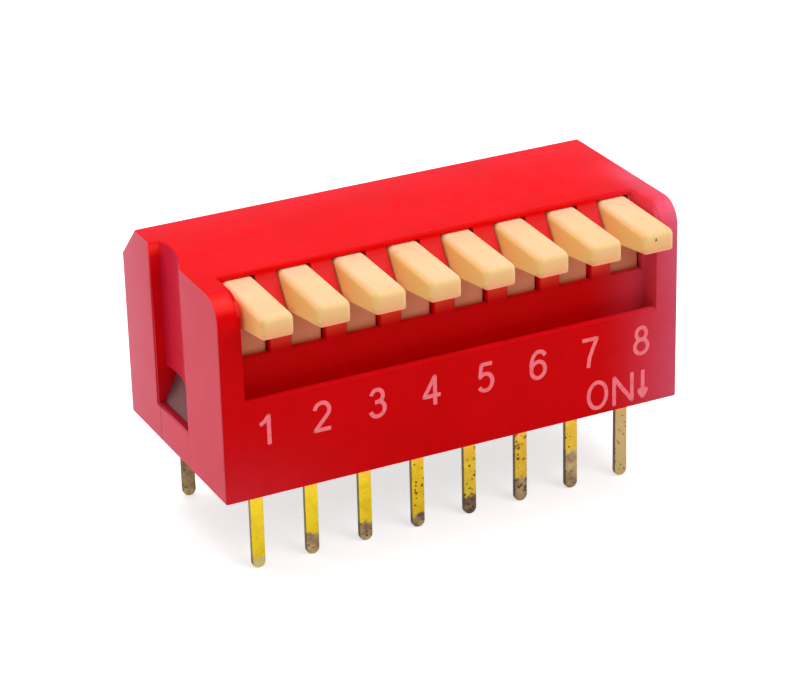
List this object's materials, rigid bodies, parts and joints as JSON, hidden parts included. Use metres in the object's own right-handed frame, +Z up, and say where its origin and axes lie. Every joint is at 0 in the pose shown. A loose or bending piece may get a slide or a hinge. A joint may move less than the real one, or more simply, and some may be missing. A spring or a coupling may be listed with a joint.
{
  "type": "dip switch",
  "caption": "Piano-type DIP switch: red moulded cover, cream side levers that tilt down to switch on, and two rows of gold through-hole pins.",
  "frame": {"origin": "on the seating plane at the underside of the cover, midway along the row and midway between the two rows of pins", "axes": "+X along the row from switch 1 to switch 8, -Y towards the lever tips, +Z up from the circuit board"},
  "size_m": [0.0218, 0.0121, 0.0134],
  "materials": {
    "cover": "red thermoplastic, semi-gloss from a polished mould",
    "lever": "cream thermoplastic, smooth and slightly translucent",
    "base": "dark glass-filled thermoplastic, matt",
    "seal": "black sealing resin, glossy where it has flowed",
    "terminal": "thin gold flash on a copper alloy, tarnished towards the tips",
    "moving_contact": "bright gold-plated spring metal"
  },
  "bodies": {
    "housing": {"cover": "cover", "base": "base", "bottom_seal": "seal", "front_terminal_1": "terminal", "front_terminal_2": "terminal", "front_terminal_3": "terminal", "front_terminal_4": "terminal", "front_terminal_5": "terminal", "front_terminal_6": "terminal", "front_terminal_7": "terminal", "front_terminal_8": "terminal", "rear_terminal_1": "terminal", "rear_terminal_2": "terminal", "rear_terminal_3": "terminal", "rear_terminal_4": "terminal", "rear_terminal_5": "terminal", "rear_terminal_6": "terminal", "rear_terminal_7": "terminal", "rear_terminal_8": "terminal"},
    "lever_1": {"lever_1": "lever", "moving_contact_1": "moving_contact"},
    "lever_2": {"lever_2": "lever", "moving_contact_2": "moving_contact"},
    "lever_3": {"lever_3": "lever", "moving_contact_3": "moving_contact"},
    "lever_4": {"lever_4": "lever", "moving_contact_4": "moving_contact"},
    "lever_5": {"lever_5": "lever", "moving_contact_5": "moving_contact"},
    "lever_6": {"lever_6": "lever", "moving_contact_6": "moving_contact"},
    "lever_7": {"lever_7": "lever", "moving_contact_7": "moving_contact"},
    "lever_8": {"lever_8": "lever", "moving_contact_8": "moving_contact"}
  },
  "joints": [
    {"name": "lever_1_tilt", "type": "hinge", "parent": "housing", "child": "lever_1", "pos_m": [-0.00889, 0, 0.0063], "axis": [1, 0, 0], "range_deg": [0, 19]},
    {"name": "lever_2_tilt", "type": "hinge", "parent": "housing", "child": "lever_2", "pos_m": [-0.00635, 0, 0.0063], "axis": [1, 0, 0], "range_deg": [0, 19]},
    {"name": "lever_3_tilt", "type": "hinge", "parent": "housing", "child": "lever_3", "pos_m": [-0.00381, 0, 0.0063], "axis": [1, 0, 0], "range_deg": [0, 19]},
    {"name": "lever_4_tilt", "type": "hinge", "parent": "housing", "child": "lever_4", "pos_m": [-0.00127, 0, 0.0063], "axis": [1, 0, 0], "range_deg": [0, 19]},
    {"name": "lever_5_tilt", "type": "hinge", "parent": "housing", "child": "lever_5", "pos_m": [0.00127, 0, 0.0063], "axis": [1, 0, 0], "range_deg": [0, 19]},
    {"name": "lever_6_tilt", "type": "hinge", "parent": "housing", "child": "lever_6", "pos_m": [0.00381, 0, 0.0063], "axis": [1, 0, 0], "range_deg": [0, 19]},
    {"name": "lever_7_tilt", "type": "hinge", "parent": "housing", "child": "lever_7", "pos_m": [0.00635, 0, 0.0063], "axis": [1, 0, 0], "range_deg": [0, 19]},
    {"name": "lever_8_tilt", "type": "hinge", "parent": "housing", "child": "lever_8", "pos_m": [0.00889, 0, 0.0063], "axis": [1, 0, 0], "range_deg": [0, 19]}
  ]
}
